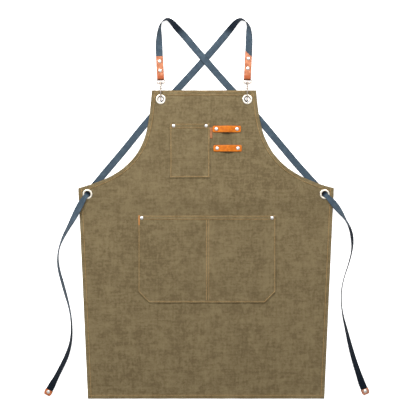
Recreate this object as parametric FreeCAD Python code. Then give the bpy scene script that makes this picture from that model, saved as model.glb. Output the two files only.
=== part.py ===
"""Canvas work apron, laid out flat on its back with its cross-back straps.

Millimetres, +Z up, front face up. +Y runs from the hem to the shoulder tabs, +X to the right.
The origin is the middle of the footprint, straps left out, on the surface it lies on.
"""
import FreeCAD, Part
import math
import os

from FreeCAD import Vector

# ---- driving dimensions: panel ----
cloth = 1.2                 # one layer of waxed canvas
panel_height = 815.1        # hem to top edge
corner_height = 556.8       # hem to the side corners
hem_half_width = 312.4
corner_half_width = 337.9
top_half_width = 137.5
hem_y = -459.9
bib_shift = -5.6            # the bib lies a little to the left of the skirt
armhole_top_pull = 108.0    # how far each end of the armhole curve runs straight
armhole_side_pull = 192.0

# the panel lies on the table, on the straps behind the bib, and on the hooks' back legs
bib_lift = 4.0
top_lift = 6.0
waist_ramp = (30.0, 64.0)
top_ramp = (277.0, 312.0)

# ---- driving dimensions: eyelets and rivets ----
eyelet_hole = 8.0           # inner radius
eyelet_barrel = 0.8         # wall of the barrel
eyelet_flange = 13.0        # outer radius
eyelet_sheet = 0.8          # thickness of the flange and of the back washer
eyelet_gap = 0.1
top_eyelet_half_spacing = 114.6
top_eyelet_drop = 23.5      # below the top edge
side_eyelet_x = 314.0
side_eyelet_drop = 16.1     # below the side corners

rivet_cap = 4.6             # radius of the domed front cap
rivet_cap_height = 1.4
rivet_back = 4.0            # radius of the flat back disc
rivet_back_height = 0.6
rivet_post = 1.5
rivet_gap = 0.1

# ---- driving dimensions: pockets, side tab and tool loops ----
chest_left, chest_right = -95.4, 9.5
chest_top, chest_bottom = 267.7, 124.7
waist_middle = 2.1
waist_half_width = 182.0
waist_top, waist_bottom = 24.2, -206.3
waist_chamfer = 29.0
waist_seam_x = 4.0
pocket_seam = 7.0           # cloth sewn down along the bottom and the middle seam
pocket_side = 17.0          # flat at the sides, for the mouth's rivets
pocket_gape = 7.0           # height of the open mouth
pocket_taper = 12.0         # how far the mouth's top draws in from its sides
pocket_rivet_inset = 9.4
pocket_rivet_drop = 6.0

side_tab_width, side_tab_length, side_tab_drop = 7.2, 30.0, 10.0
side_tab_thickness = 1.6

tool_loop_length, tool_loop_width, tool_loop_leather = 74.8, 17.9, 2.2
tool_loop_rivet_spacing = 54.8
tool_loop_arch_half = 21.0
tool_loop_rise = 6.2
tool_loop_centres = {"upper": (54.6, 253.2), "lower": (56.8, 202.3)}

# ---- driving dimensions: snap hooks and leather shoulder tabs ----
hook_axis_z = 8.4
hook_wire = 1.7
hook_leg_offset = 6.1       # each leg's distance from the swivel axis
hook_bend_y = 2.0           # the bend's centre, above the eyelet's
hook_leg_length = 26.0
nose_angle = 125.0
nose_ball = 2.6
stem_radius, stem_gap = 1.65, 0.1
collar_radius, collar_length = 3.0, 6.0
stem_head_radius, stem_head_height = 2.8, 1.5
lug_half = 0.8
cheek_gap, cheek_inner, cheek_outer, cheek_radius = 0.1, 2.0, 3.0, 2.4
gate_wire = 1.5
gate_nose_gap = 0.4
gate_pin = 0.9
pin_gap = 0.05
pin_overhang = 0.6
spring_wire = 0.6

loop_wire = 1.1
loop_inner_half = 9.6
loop_block_height, loop_block_half_depth = 4.4, 2.2
loop_height = 12.0          # lower block's middle to the bar in the leather
running_gap = 0.3

webbing_width, webbing_thickness = 18.4, 1.6
leather = 2.0
leather_gap = 0.15
tab_width = 18.6
fold_slack = 0.8            # room round the bar for the tab to lean
fold_run = 10.0
tabs = {"left": {"long": 60.0, "short": 60.0, "rivets": (22.0, 46.6), "lean": 3.0},
        "right": {"long": 74.0, "short": 57.9, "rivets": (28.0, 54.0), "lean": -2.9}}

tip_length = 15.5
tip_width = 20.6
tip_overlap = 11.5

# ---- strap routes, chosen by hand: x, y, z, lean in degrees (0 flat, 90 on edge), width share ----
routes = {
    "left": [
        (-121.4, 403.0, 8.4, 0, 1.0), (-122.8, 430.0, 8.4, 0, 1.0), (-124.1, 455.0, 8.4, 0, 1.0),
        (-124.4, 484.0, 9.4, 26, 1.0), (-123.4, 508.5, 10.2, 52, 1.0), (-121.4, 527.0, 10.2, 78, 1.0),
        (-115.0, 538.6, 10.4, 102, 1.0), (-103.0, 544.8, 10.5, 120, 1.0), (-91.2, 537.4, 10.4, 138, 1.0),
        (-78.5, 521.5, 9.4, 158, 1.0),
        (-57.5, 500.5, 6.2, 174, 1.0), (-30.0, 467.0, 3.9, 180, 1.0),
        (-3.0, 436.6, 3.4, 180, 1.0), (26.0, 403.0, 3.0, 180, 1.0), (62.0, 363.0, 1.4, 180, 1.0),
        (102.0, 320.0, 1.1, 180, 1.0), (141.0, 279.0, 1.1, 180, 1.0), (175.0, 238.0, 1.1, 180, 1.0),
        (208.5, 198.0, 1.1, 180, 1.0), (241.0, 159.0, 1.1, 180, 1.0), (271.0, 126.0, 1.1, 180, 1.0),
        (292.0, 103.2, 1.1, 180, 0.8), (303.0, 92.0, 1.0, 180, 0.66), (309.8, 85.0, 1.0, 180, 0.64),
        (318.2, 76.6, 8.0, 180, 0.64), (325.0, 69.6, 8.2, 180, 0.72), (335.5, 58.5, 8.3, 176, 0.96),
        (352.2, 37.5, 9.6, 147, 1.0), (369.5, 13.0, 10.6, 101, 1.0), (381.0, -10.0, 10.2, 117, 1.0),
        (386.6, -37.0, 10.0, 121, 1.0), (386.2, -66.0, 10.2, 104, 1.0), (376.9, -103.0, 10.2, 101, 1.0),
        (364.6, -137.0, 10.2, 99, 1.0), (357.2, -172.0, 10.2, 100, 1.0), (356.9, -205.0, 10.2, 99, 1.0),
        (360.7, -238.0, 10.2, 102, 1.0), (370.0, -275.0, 10.0, 116, 1.0), (380.0, -318.0, 9.3, 130, 1.0),
        (390.9, -357.0, 8.4, 139, 1.0), (401.2, -388.0, 7.4, 147, 1.0), (406.7, -404.0, 6.2, 156, 1.0),
        (412.0, -419.0, 4.6, 180, 1.0), (416.0, -428.5, 4.2, 180, 1.0), (423.2, -445.0, 4.2, 180, 1.0)],
    "right": [
        (110.4, 413.0, 8.4, 0, 1.0), (111.7, 438.0, 8.4, 0, 1.0), (113.0, 466.0, 8.4, 0, 1.0),
        (113.8, 488.0, 9.0, -14, 1.0), (113.2, 510.5, 9.4, -38, 1.0), (111.0, 528.0, 10.2, -70, 1.0),
        (103.8, 539.0, 10.4, -101, 1.0), (91.4, 544.2, 10.5, -121, 1.0), (80.0, 536.8, 10.2, -140, 1.0),
        (68.0, 522.0, 9.2, -160, 1.0),
        (48.0, 498.0, 5.2, -176, 1.0), (22.5, 468.0, 1.9, -180, 1.0),
        (-5.0, 436.6, 1.1, -180, 1.0), (-36.0, 402.0, 1.1, -180, 1.0), (-73.0, 362.0, 1.1, -180, 1.0),
        (-112.0, 320.5, 1.1, -180, 1.0), (-151.0, 279.0, 1.1, -180, 1.0), (-184.5, 238.0, 1.1, -180, 1.0),
        (-216.5, 198.0, 1.1, -180, 1.0), (-247.0, 162.0, 1.1, -180, 1.0), (-275.0, 129.0, 1.1, -180, 1.0),
        (-294.5, 104.8, 1.1, -180, 0.8), (-304.2, 92.8, 1.0, -180, 0.66), (-310.0, 85.6, 1.0, -180, 0.64),
        (-318.0, 76.0, 8.0, -180, 0.64), (-323.8, 67.6, 8.2, -180, 0.72), (-331.5, 54.5, 8.3, -176, 0.96),
        (-345.5, 27.0, 9.6, -156, 1.0), (-361.5, -3.0, 10.4, -128, 1.0), (-376.5, -30.0, 10.4, -118, 1.0),
        (-388.0, -57.0, 10.2, -101, 1.0), (-392.6, -87.0, 10.2, -106, 1.0), (-389.6, -117.0, 10.2, -115, 1.0),
        (-381.2, -147.0, 10.0, -120, 1.0), (-371.8, -181.0, 10.0, -119, 1.0), (-362.2, -215.0, 10.2, -107, 1.0),
        (-356.2, -248.0, 10.2, -106, 1.0), (-354.6, -282.0, 10.2, -107, 1.0), (-357.6, -314.0, 10.0, -116, 1.0),
        (-368.0, -347.0, 9.2, -131, 1.0), (-382.2, -376.0, 8.6, -134, 1.0), (-394.6, -400.0, 8.0, -136, 1.0),
        (-403.0, -416.0, 6.2, -150, 1.0), (-408.6, -426.0, 4.4, -180, 1.0), (-412.6, -433.4, 4.2, -180, 1.0),
        (-420.0, -447.0, 4.2, -180, 1.0)]}
samples_per_run = 3

parts = {}
top_y = hem_y + panel_height
corner_y = hem_y + corner_height
Z = Vector(0, 0, 1)


# ---- shared solids ----
def box(x0, x1, y0, y1, z0, z1):
    return Part.makeBox(x1 - x0, y1 - y0, z1 - z0, Vector(x0, y0, z0))


def disc(x, y, z, radius, height):
    return Part.makeCylinder(radius, height, Vector(x, y, z), Z)


def prism_x(points_yz, x0, x1):
    """A solid of a Y-Z outline between two X planes."""
    wire = Part.makePolygon([Vector(x0, y, z) for y, z in points_yz + points_yz[:1]])
    return Part.Face(wire).extrude(Vector(x1 - x0, 0, 0))


def prism_z(points_xy, z0, z1):
    wire = Part.makePolygon([Vector(x, y, z0) for x, y in points_xy + points_xy[:1]])
    return Part.Face(wire).extrude(Vector(0, 0, z1 - z0))


def panel_under(y):
    """Height of the panel's underside at y."""
    if y <= waist_ramp[1]:
        share = (y - waist_ramp[0]) / (waist_ramp[1] - waist_ramp[0])
        return bib_lift * min(max(share, 0.0), 1.0)
    share = (y - top_ramp[0]) / (top_ramp[1] - top_ramp[0])
    return bib_lift + (top_lift - bib_lift) * min(max(share, 0.0), 1.0)


def rivet(name, spots):
    """Domed caps and flat-backed posts; each spot is x, y, the back disc's base and the cap's seat."""
    caps, posts = [], []
    for x, y, base, seat in spots:
        dome_radius = (rivet_cap ** 2 + rivet_cap_height ** 2) / (2 * rivet_cap_height)
        dome = Part.makeSphere(dome_radius, Vector(x, y, seat + rivet_cap_height - dome_radius))
        caps.append(dome.common(disc(x, y, seat, rivet_cap, rivet_cap_height)))
        post = disc(x, y, base, rivet_post, seat - base)
        posts.append(post.fuse(disc(x, y, base, rivet_back, rivet_back_height)))
    parts[name + "_caps"] = Part.makeCompound(caps)
    parts[name + "_posts"] = Part.makeCompound(posts)


def rivet_holes(shape, spots):
    """Cut each post's hole, and the back disc's seat where the disc is let into the cloth."""
    for x, y, base, seat in spots:
        shape = shape.cut(disc(x, y, base - 1, rivet_post + rivet_gap, seat - base + 2))
        shape = shape.cut(disc(x, y, base - 1, rivet_back + rivet_gap, rivet_back_height + 1 + rivet_gap))
    return shape


# ---- where the rivets of the pockets and tool loops go ----
def front_spot(x, y, stack):
    base = panel_under(y)
    return (x, y, base, base + cloth + stack)


chest_spots = [front_spot(chest_left + pocket_rivet_inset, chest_top - pocket_rivet_drop, cloth),
               front_spot(chest_right - pocket_rivet_inset, chest_top - pocket_rivet_drop, cloth)]
waist_left, waist_right = waist_middle - waist_half_width, waist_middle + waist_half_width
waist_spots = [front_spot(waist_left + pocket_rivet_inset, waist_top - pocket_rivet_drop, cloth),
               front_spot(waist_right - pocket_rivet_inset, waist_top - pocket_rivet_drop, cloth)]
loop_spots = []
for centre_x, centre_y in tool_loop_centres.values():
    for side in (-1, 1):
        spot_x = centre_x + side * tool_loop_rivet_spacing / 2
        loop_spots.append(front_spot(spot_x, centre_y, tool_loop_leather))
eyelet_places = {
    "left_top": (bib_shift - top_eyelet_half_spacing, top_y - top_eyelet_drop),
    "right_top": (bib_shift + top_eyelet_half_spacing, top_y - top_eyelet_drop),
    "left_side": (-side_eyelet_x, corner_y - side_eyelet_drop),
    "right_side": (side_eyelet_x, corner_y - side_eyelet_drop)}


# ---- apron panel: one cloth sheet, straight sides, two scooped armholes ----
def armhole(side):
    top = Vector(bib_shift + side * top_half_width, top_y, 0)
    corner = Vector(side * corner_half_width, corner_y, 0)
    curve = Part.BezierCurve()
    curve.setPoles([top, top + Vector(side * 0.09 * armhole_top_pull, -armhole_top_pull, 0),
                    corner + Vector(-side * 0.97 * armhole_side_pull, 0.24 * armhole_side_pull, 0), corner])
    return curve.toShape(), top, corner


left_curve, left_top, left_corner = armhole(-1)
right_curve, right_top, right_corner = armhole(1)
left_hem = Vector(-hem_half_width, hem_y, 0)
right_hem = Vector(hem_half_width, hem_y, 0)
outline = Part.Wire(Part.__sortEdges__([
    Part.makeLine(left_top, right_top), right_curve, Part.makeLine(right_corner, right_hem),
    Part.makeLine(right_hem, left_hem), Part.makeLine(left_hem, left_corner), left_curve]))
panel_prism = Part.Face(outline).extrude(Vector(0, 0, top_lift + 2 * cloth))
bends = [hem_y - 5, waist_ramp[0], waist_ramp[1], top_ramp[0], top_ramp[1], top_y + 5]
under = [(y, panel_under(y)) for y in bends]
over = [(y, panel_under(y) + cloth) for y in reversed(bends)]
panel = panel_prism.common(prism_x(under + over, -corner_half_width - 5, corner_half_width + 5))
for x, y in eyelet_places.values():
    panel = panel.cut(disc(x, y, -1, eyelet_hole + eyelet_barrel + eyelet_gap, top_lift + 5))
parts["apron_panel"] = rivet_holes(panel, chest_spots + waist_spots + loop_spots)


# ---- eyelets: a flanged barrel from the front, a washer behind ----
for place, (x, y) in eyelet_places.items():
    under_z = panel_under(y)
    barrel_outer = eyelet_hole + eyelet_barrel
    washer_z = under_z - eyelet_sheet
    flange = disc(x, y, under_z + cloth, eyelet_flange, eyelet_sheet)
    outer_rim = [edge for edge in flange.Edges
                 if edge.Curve.TypeId == "Part::GeomCircle" and edge.CenterOfMass.z > under_z + cloth + 0.1]
    flange = flange.makeFillet(0.6 * eyelet_sheet, outer_rim)
    eyelet = flange.fuse(disc(x, y, washer_z, barrel_outer, eyelet_sheet + cloth))
    parts[place + "_eyelet"] = eyelet.cut(disc(x, y, washer_z - 1, eyelet_hole, cloth + 3 * eyelet_sheet + 2))
    washer = disc(x, y, washer_z, eyelet_flange, eyelet_sheet)
    parts[place + "_eyelet_washer"] = washer.cut(disc(x, y, washer_z - 1, barrel_outer + eyelet_gap, 3))


# ---- pockets: sewn down on three sides, mouth a little open ----
def pocket_wedge(x0, x1, y0, y1, z, low, high, taper):
    """A wedge that rises from the pocket's bottom edge to its mouth."""
    wires = []
    for y, rise, inset in ((y0, low, 0.0), (y1, high, taper)):
        points = [(x0, z), (x1, z), (x1 - inset, z + rise), (x0 + inset, z + rise), (x0, z)]
        wires.append(Part.makePolygon([Vector(x, y, height) for x, height in points]))
    return Part.makeLoft(wires, True, True)


def pocket(x0, x1, y0, y1, base, chamfer, seams):
    """Cloth over each compartment, flat where it is sewn to the panel."""
    edges = [x0] + seams + [x1]
    sewn = prism_z(chamfered(x0, x1, y0, y1, chamfer), base, base + cloth)
    room = prism_z(chamfered(x0 + pocket_seam, x1 - pocket_seam, y0 + pocket_seam, y1 + 5, chamfer),
                   base - 1, base + 40)
    for left, right in zip(edges[:-1], edges[1:]):
        inner_left = left + (pocket_side if left == x0 else pocket_seam)
        inner_right = right - (pocket_side if right == x1 else pocket_seam)
        cover = pocket_wedge(inner_left - cloth, inner_right + cloth, y0 + cloth, y1, base,
                             cloth, pocket_gape + cloth, pocket_taper)
        sewn = sewn.fuse(cover)
        hollow = pocket_wedge(inner_left, inner_right, y0 + pocket_seam, y1 + 0.5, base - 0.01,
                              0.2, pocket_gape, pocket_taper)
        sewn = sewn.cut(hollow.common(room))
    return sewn.common(prism_z(chamfered(x0, x1, y0, y1, chamfer), base - 1, base + 40)).removeSplitter()


def chamfered(x0, x1, y0, y1, cut):
    if cut == 0:
        return [(x0, y0), (x1, y0), (x1, y1), (x0, y1)]
    return [(x0 + cut, y0), (x1 - cut, y0), (x1, y0 + cut), (x1, y1), (x0, y1), (x0, y0 + cut)]


chest_base = panel_under(chest_top) + cloth
waist_base = panel_under(waist_top) + cloth
chest = pocket(chest_left, chest_right, chest_bottom, chest_top, chest_base, 0, [])
parts["chest_pocket"] = rivet_holes(chest, chest_spots)
waist = pocket(waist_left, waist_right, waist_bottom, waist_top, waist_base, waist_chamfer, [waist_seam_x])
parts["waist_pocket"] = rivet_holes(waist, waist_spots)
rivet("chest_pocket_rivet", chest_spots)
rivet("waist_pocket_rivet", waist_spots)

# ---- plain tab in the chest pocket's side seam ----
side_tab_top = chest_top - side_tab_drop
parts["chest_pocket_side_tab"] = box(
    chest_right, chest_right + side_tab_width, side_tab_top - side_tab_length, side_tab_top,
    chest_base, chest_base + side_tab_thickness)


# ---- tool loops: leather straps riveted down at both ends, arched between ----
def arch(centre_x, centre_y, base):
    half = tool_loop_length / 2
    lift = tool_loop_leather
    lower = Part.Arc(Vector(-tool_loop_arch_half, 0, 0), Vector(0, 0, tool_loop_rise),
                     Vector(tool_loop_arch_half, 0, 0)).toShape()
    upper = Part.Arc(Vector(tool_loop_arch_half, 0, lift), Vector(0, 0, tool_loop_rise + lift),
                     Vector(-tool_loop_arch_half, 0, lift)).toShape()
    rim = [Vector(tool_loop_arch_half, 0, 0), Vector(half, 0, 0), Vector(half, 0, lift),
           Vector(tool_loop_arch_half, 0, lift)]
    rim_left = [Vector(-point.x, 0, point.z) for point in reversed(rim)]
    edges = [lower, upper]
    for run in (rim, rim_left):
        edges += [Part.makeLine(a, b) for a, b in zip(run[:-1], run[1:])]
    face = Part.Face(Part.Wire(Part.__sortEdges__(edges)))
    band = face.extrude(Vector(0, tool_loop_width, 0))
    band.translate(Vector(centre_x, centre_y - tool_loop_width / 2, base))
    return band


for name, (centre_x, centre_y) in tool_loop_centres.items():
    band = arch(centre_x, centre_y, panel_under(centre_y) + cloth)
    parts[name + "_tool_loop"] = rivet_holes(band, loop_spots)
rivet("tool_loop_rivet", loop_spots)

# ---- snap hooks: a swivelling wire body with a sprung gate, in a loop held by the leather tab ----
pivot_y = hook_bend_y + hook_leg_length
block_y = pivot_y + hook_leg_offset + collar_length + running_gap
bar_y = block_y + loop_block_height / 2 + loop_height


def ring_point(angle, centre_y):
    """A point on the hook's bend, in its own Y-Z plane."""
    turn = math.radians(angle)
    return Vector(0, centre_y + hook_leg_offset * math.cos(turn),
                  hook_axis_z + hook_leg_offset * math.sin(turn))


def hook_body():
    nose = ring_point(nose_angle, hook_bend_y)
    back_low = ring_point(270, hook_bend_y)
    back_high = ring_point(270, pivot_y)
    shoulder = ring_point(360, pivot_y)
    lug_end = ring_point(40, pivot_y)
    path = Part.Wire([
        Part.Arc(nose, ring_point((nose_angle + 270) / 2, hook_bend_y), back_low).toShape(),
        Part.makeLine(back_low, back_high),
        Part.Arc(back_high, ring_point(315, pivot_y), shoulder).toShape(),
        Part.Arc(shoulder, ring_point(20, pivot_y), lug_end).toShape()])
    along = Vector(0, -math.sin(math.radians(nose_angle)), math.cos(math.radians(nose_angle)))
    section = Part.Wire(Part.makeCircle(hook_wire, nose, along))
    body = path.makePipeShell([section], True, False)
    body = body.fuse(Part.makeSphere(nose_ball, nose))
    stem_y = pivot_y + hook_leg_offset - 1
    collar_end = block_y - running_gap
    body = body.fuse(Part.makeCylinder(collar_radius, collar_end - stem_y, Vector(0, stem_y, hook_axis_z),
                                       Vector(0, 1, 0)))
    head_y = block_y + loop_block_height + running_gap
    body = body.fuse(Part.makeCylinder(stem_radius, head_y - stem_y, Vector(0, stem_y, hook_axis_z),
                                       Vector(0, 1, 0)))
    body = body.fuse(Part.makeCylinder(stem_head_radius, stem_head_height, Vector(0, head_y, hook_axis_z),
                                       Vector(0, 1, 0)))
    gate_z = hook_axis_z + hook_leg_offset
    reach = ring_point(40, pivot_y)
    lug = prism_x([(pivot_y, gate_z - 1.9), (reach.y - 0.6, reach.z - 1.4), (reach.y + 0.8, reach.z),
                   (reach.y - 0.6, reach.z + 1.2), (pivot_y, gate_z + 1.9)], -lug_half, lug_half)
    lug = lug.fuse(Part.makeCylinder(1.9, 2 * lug_half, Vector(-lug_half, pivot_y, gate_z), Vector(1, 0, 0)))
    body = body.fuse(lug)
    return body.cut(Part.makeCylinder(gate_pin + pin_gap, 4 * lug_half, Vector(-2 * lug_half, pivot_y, gate_z),
                                      Vector(1, 0, 0))).removeSplitter()


def hook_gate():
    """The sprung bar: a rod from two cheeks on the pin to the nose."""
    gate_z = hook_axis_z + hook_leg_offset
    nose = ring_point(nose_angle, hook_bend_y)
    end_y = nose.y + nose_ball + gate_nose_gap
    bridge_y = pivot_y - cheek_radius - cheek_outer + cheek_gap
    gate = Part.makeCylinder(gate_wire, bridge_y - end_y, Vector(0, end_y, gate_z), Vector(0, 1, 0))
    gate = gate.fuse(box(-cheek_outer, cheek_outer, bridge_y - 1, pivot_y - cheek_radius,
                         gate_z - gate_wire, gate_z + gate_wire))
    for side in (-1, 1):
        start = min(side * cheek_inner, side * cheek_outer)
        width = cheek_outer - cheek_inner
        gate = gate.fuse(Part.makeCylinder(cheek_radius, width, Vector(start, pivot_y, gate_z), Vector(1, 0, 0)))
        gate = gate.fuse(box(start, start + width, bridge_y, pivot_y, gate_z - gate_wire, gate_z + gate_wire))
    bore = Part.makeCylinder(gate_pin + pin_gap, 4 * cheek_outer, Vector(-2 * cheek_outer, pivot_y, gate_z),
                             Vector(1, 0, 0))
    return gate.cut(bore).removeSplitter()


def base_loop():
    """The flat loop that the swivel turns in, with its upper bar inside the leather fold."""
    half = loop_inner_half + loop_wire
    low_y = block_y + loop_block_height / 2
    corner = 2.6
    points = [(-half, low_y), (-half, bar_y - corner), (-half + corner, bar_y), (half - corner, bar_y),
              (half, bar_y - corner), (half, low_y)]
    high = [Vector(x, y, hook_axis_z) for x, y in points]
    bulge = corner * (1 - math.sqrt(0.5))
    left_mid = Vector(-half + bulge, bar_y - bulge, hook_axis_z)
    right_mid = Vector(half - bulge, bar_y - bulge, hook_axis_z)
    path = Part.Wire([Part.makeLine(high[0], high[1]), Part.Arc(high[1], left_mid, high[2]).toShape(),
                      Part.makeLine(high[2], high[3]), Part.Arc(high[3], right_mid, high[4]).toShape(),
                      Part.makeLine(high[4], high[5])])
    section = Part.Wire(Part.makeCircle(loop_wire, high[0], Vector(0, 1, 0)))
    ring = path.makePipeShell([section], True, False)
    block_half = half + loop_wire
    block = box(-block_half, block_half, block_y, block_y + loop_block_height,
                hook_axis_z - loop_block_half_depth, hook_axis_z + loop_block_half_depth)
    upright = [edge for edge in block.Edges if abs(edge.tangentAt(edge.FirstParameter).z) > 0.9]
    block = block.makeFillet(0.35 * loop_block_height, upright)
    bore = Part.makeCylinder(stem_radius + stem_gap, loop_block_height + 8, Vector(0, block_y - 4, hook_axis_z),
                             Vector(0, 1, 0))
    return ring.fuse(block).cut(bore).removeSplitter()


# ---- leather tabs: one strip folded over the loop's bar, riveted through the webbing's end ----
def leather_tab(long, short):
    inner_bar = loop_wire + fold_slack
    outer_bar = inner_bar + leather
    inner = webbing_thickness / 2 + leather_gap
    outer = inner + leather
    half = tab_width / 2

    def fold(radius, clear):
        shape = Part.makeCylinder(radius, tab_width, Vector(-half, 0, 0), Vector(1, 0, 0))
        shape = shape.fuse(prism_x([(0, -radius), (fold_run, -clear), (fold_run, clear), (0, radius)], -half, half))
        return shape.fuse(box(-half, half, fold_run, long + 5, -clear, clear))

    strip = fold(outer_bar, outer).cut(fold(inner_bar, inner))
    trim = prism_z([(-half - 1, -outer_bar - 1), (half + 1, -outer_bar - 1), (half + 1, short), (-half - 1, long)],
                   -outer_bar - 1, outer_bar + 1)
    return strip.common(trim)


def placed_tab(shape, side, x, y):
    """Move a tab-frame shape to its loop bar, leaning as the tab does."""
    copy = shape.copy()
    copy.rotate(Vector(0, 0, 0), Z, tabs[side]["lean"])
    copy.translate(Vector(x, y, hook_axis_z))
    return copy


tab_outer = webbing_thickness / 2 + leather_gap + leather
for side in ("left", "right"):
    eyelet_x, eyelet_y = eyelet_places[side + "_top"]
    shift = Vector(eyelet_x, eyelet_y, 0)
    gate_z = hook_axis_z + hook_leg_offset
    pin_half = cheek_outer + pin_overhang
    pieces = {
        "hook_body": hook_body(), "hook_gate": hook_gate(), "hook_base_loop": base_loop(),
        "gate_pin": Part.makeCylinder(gate_pin, 2 * pin_half, Vector(-pin_half, pivot_y, gate_z),
                                      Vector(1, 0, 0)),
        "gate_spring": Part.makeCylinder(gate_pin + pin_gap + spring_wire, cheek_inner - lug_half - 2 * cheek_gap,
                                         Vector(lug_half + cheek_gap, pivot_y, gate_z), Vector(1, 0, 0))
        .cut(Part.makeCylinder(gate_pin + pin_gap, 10, Vector(-5, pivot_y, gate_z), Vector(1, 0, 0)))}
    for piece, shape in pieces.items():
        shape.translate(shift)
        parts[side + "_" + piece] = shape
    tab = leather_tab(tabs[side]["long"], tabs[side]["short"])
    tab_spots = []
    lean = math.radians(tabs[side]["lean"])
    for run in tabs[side]["rivets"]:
        tab_spots.append((eyelet_x - run * math.sin(lean), eyelet_y + bar_y + run * math.cos(lean),
                          hook_axis_z - tab_outer - rivet_back_height, hook_axis_z + tab_outer))
    tab = placed_tab(tab, side, eyelet_x, eyelet_y + bar_y)
    for x, y, base, seat in tab_spots:
        tab = tab.cut(disc(x, y, base - 1, rivet_post + rivet_gap, seat - base + 2))
    parts[side + "_leather_tab"] = tab
    tabs[side]["spots"] = tab_spots
    rivet(side + "_tab_rivet", tab_spots)


# ---- webbing straps: flat ribbons that follow their routes, standing on edge where they curve ----
def smooth(route):
    """Points along the route's quadratic B-spline, with lean and width carried along."""
    stations = []
    count = len(route)
    middle = [[(a + b) / 2 for a, b in zip(route[i], route[i + 1])] for i in range(count - 1)]
    for i in range(1, count - 1):
        start = list(route[0]) if i == 1 else middle[i - 1]
        end = list(route[-1]) if i == count - 2 else middle[i]
        for step in range(samples_per_run):
            t = step / samples_per_run
            stations.append([(1 - t) ** 2 * a + 2 * t * (1 - t) * b + t * t * c
                             for a, b, c in zip(start, route[i], end)])
    stations.append(list(route[-1]))
    return stations


def ribbon(stations):
    wires = []
    length = 0.0
    for i, (x, y, z, lean, share) in enumerate(stations):
        before = stations[max(i - 1, 0)]
        after = stations[min(i + 1, len(stations) - 1)]
        along = Vector(after[0] - before[0], after[1] - before[1], after[2] - before[2]).normalize()
        if i:
            length += (Vector(x, y, z) - Vector(*stations[i - 1][:3])).Length
        flat = Z.cross(along).normalize()
        up = along.cross(flat).normalize()
        turn = math.radians(lean)
        across = (flat * math.cos(turn) + up * math.sin(turn)) * (webbing_width * share / 2)
        through = (up * math.cos(turn) - flat * math.sin(turn)) * (webbing_thickness / 2)
        centre = Vector(x, y, z)
        corners = [centre - across - through, centre + across - through,
                   centre + across + through, centre - across + through]
        wires.append(Part.makePolygon(corners + corners[:1]))
    return Part.makeLoft(wires, True, True), length


def tip(side):
    """A leather end folded over the webbing, in the plane of the strap's last run."""
    end = Vector(*routes[side][-1][:3])
    before = Vector(*routes[side][-2][:3])
    heading = math.degrees(math.atan2(end.y - before.y, end.x - before.x))
    inner = webbing_thickness / 2 + leather_gap
    outer = inner + leather
    half = tip_width / 2
    reach = tip_length - tip_overlap
    body = box(-tip_overlap, reach, -half, half, -outer, outer)
    upright = [edge for edge in body.Edges
               if abs(edge.tangentAt(edge.FirstParameter).z) > 0.9 and edge.CenterOfMass.x > 0]
    body = body.makeFillet(0.8 * reach, upright)
    body = body.cut(box(-tip_overlap - 1, 0.4, -half - 1, half + 1, -inner, inner))
    body.rotate(Vector(0, 0, 0), Z, heading)
    body.translate(end)
    rivet_x = end.x - 0.5 * tip_overlap * math.cos(math.radians(heading))
    rivet_y = end.y - 0.5 * tip_overlap * math.sin(math.radians(heading))
    return body, [(rivet_x, rivet_y, end.z - outer - rivet_back_height, end.z + outer)]


for side, route in routes.items():
    radii = []
    for a, b, c in zip(route[:-2], route[1:-1], route[2:]):
        first = Vector(b[0] - a[0], b[1] - a[1], b[2] - a[2])
        second = Vector(c[0] - b[0], c[1] - b[1], c[2] - b[2])
        turn = first.getAngle(second)
        radii.append(0.45 * min(first.Length, second.Length) / math.tan(max(turn, 1e-4) / 2))
    strap, length = ribbon(smooth(route))
    print(side, "strap length", round(length, 1), "volume share",
          round(strap.Volume / (length * webbing_width * webbing_thickness), 3),
          "valid", strap.isValid(), "radii", [round(radius) for radius in radii])
    leather_end, tip_spots = tip(side)
    for x, y, base, seat in tabs[side]["spots"] + tip_spots:
        bore = disc(x, y, base - 1, rivet_post + rivet_gap, seat - base + 2)
        strap = strap.cut(bore)
        leather_end = leather_end.cut(bore)
    parts[side + "_webbing_strap"] = strap
    parts[side + "_strap_tip"] = leather_end
    rivet(side + "_tip_rivet", tip_spots)

os.makedirs("parts", exist_ok=True)
for node, shape in parts.items():
    shape.exportStep("parts/" + node + ".step")
print(len(parts), "nodes")
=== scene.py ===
"""Canvas work apron with cross-back straps, laid flat on a pale table and seen from straight above.

Metres, +Z up. +Y runs from the hem to the shoulder tabs, +X is the right of the front.
"""
import math

import bpy
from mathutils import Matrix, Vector, noise


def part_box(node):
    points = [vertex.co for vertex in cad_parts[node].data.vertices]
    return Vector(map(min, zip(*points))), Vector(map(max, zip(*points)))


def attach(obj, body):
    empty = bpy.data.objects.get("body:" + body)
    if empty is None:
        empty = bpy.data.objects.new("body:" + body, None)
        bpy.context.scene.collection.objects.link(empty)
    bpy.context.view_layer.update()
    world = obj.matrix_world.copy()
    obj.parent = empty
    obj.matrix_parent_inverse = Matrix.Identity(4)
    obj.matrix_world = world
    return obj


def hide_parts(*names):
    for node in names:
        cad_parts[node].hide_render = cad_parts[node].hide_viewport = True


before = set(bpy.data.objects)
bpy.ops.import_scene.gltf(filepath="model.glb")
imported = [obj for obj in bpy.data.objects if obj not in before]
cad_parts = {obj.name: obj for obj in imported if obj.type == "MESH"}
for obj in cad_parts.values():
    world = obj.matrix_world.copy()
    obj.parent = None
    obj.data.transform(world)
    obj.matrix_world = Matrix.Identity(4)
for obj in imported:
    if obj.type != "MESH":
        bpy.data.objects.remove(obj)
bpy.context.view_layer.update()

# ---- Camera, lights and table ----
# A long lens straight above the apron, a big soft light from the top left, and a plain pale table.


def in_scene(name, data):
    """A new object at the origin."""
    thing = bpy.data.objects.new(name, data)
    bpy.context.scene.collection.objects.link(thing)
    return thing


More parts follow.
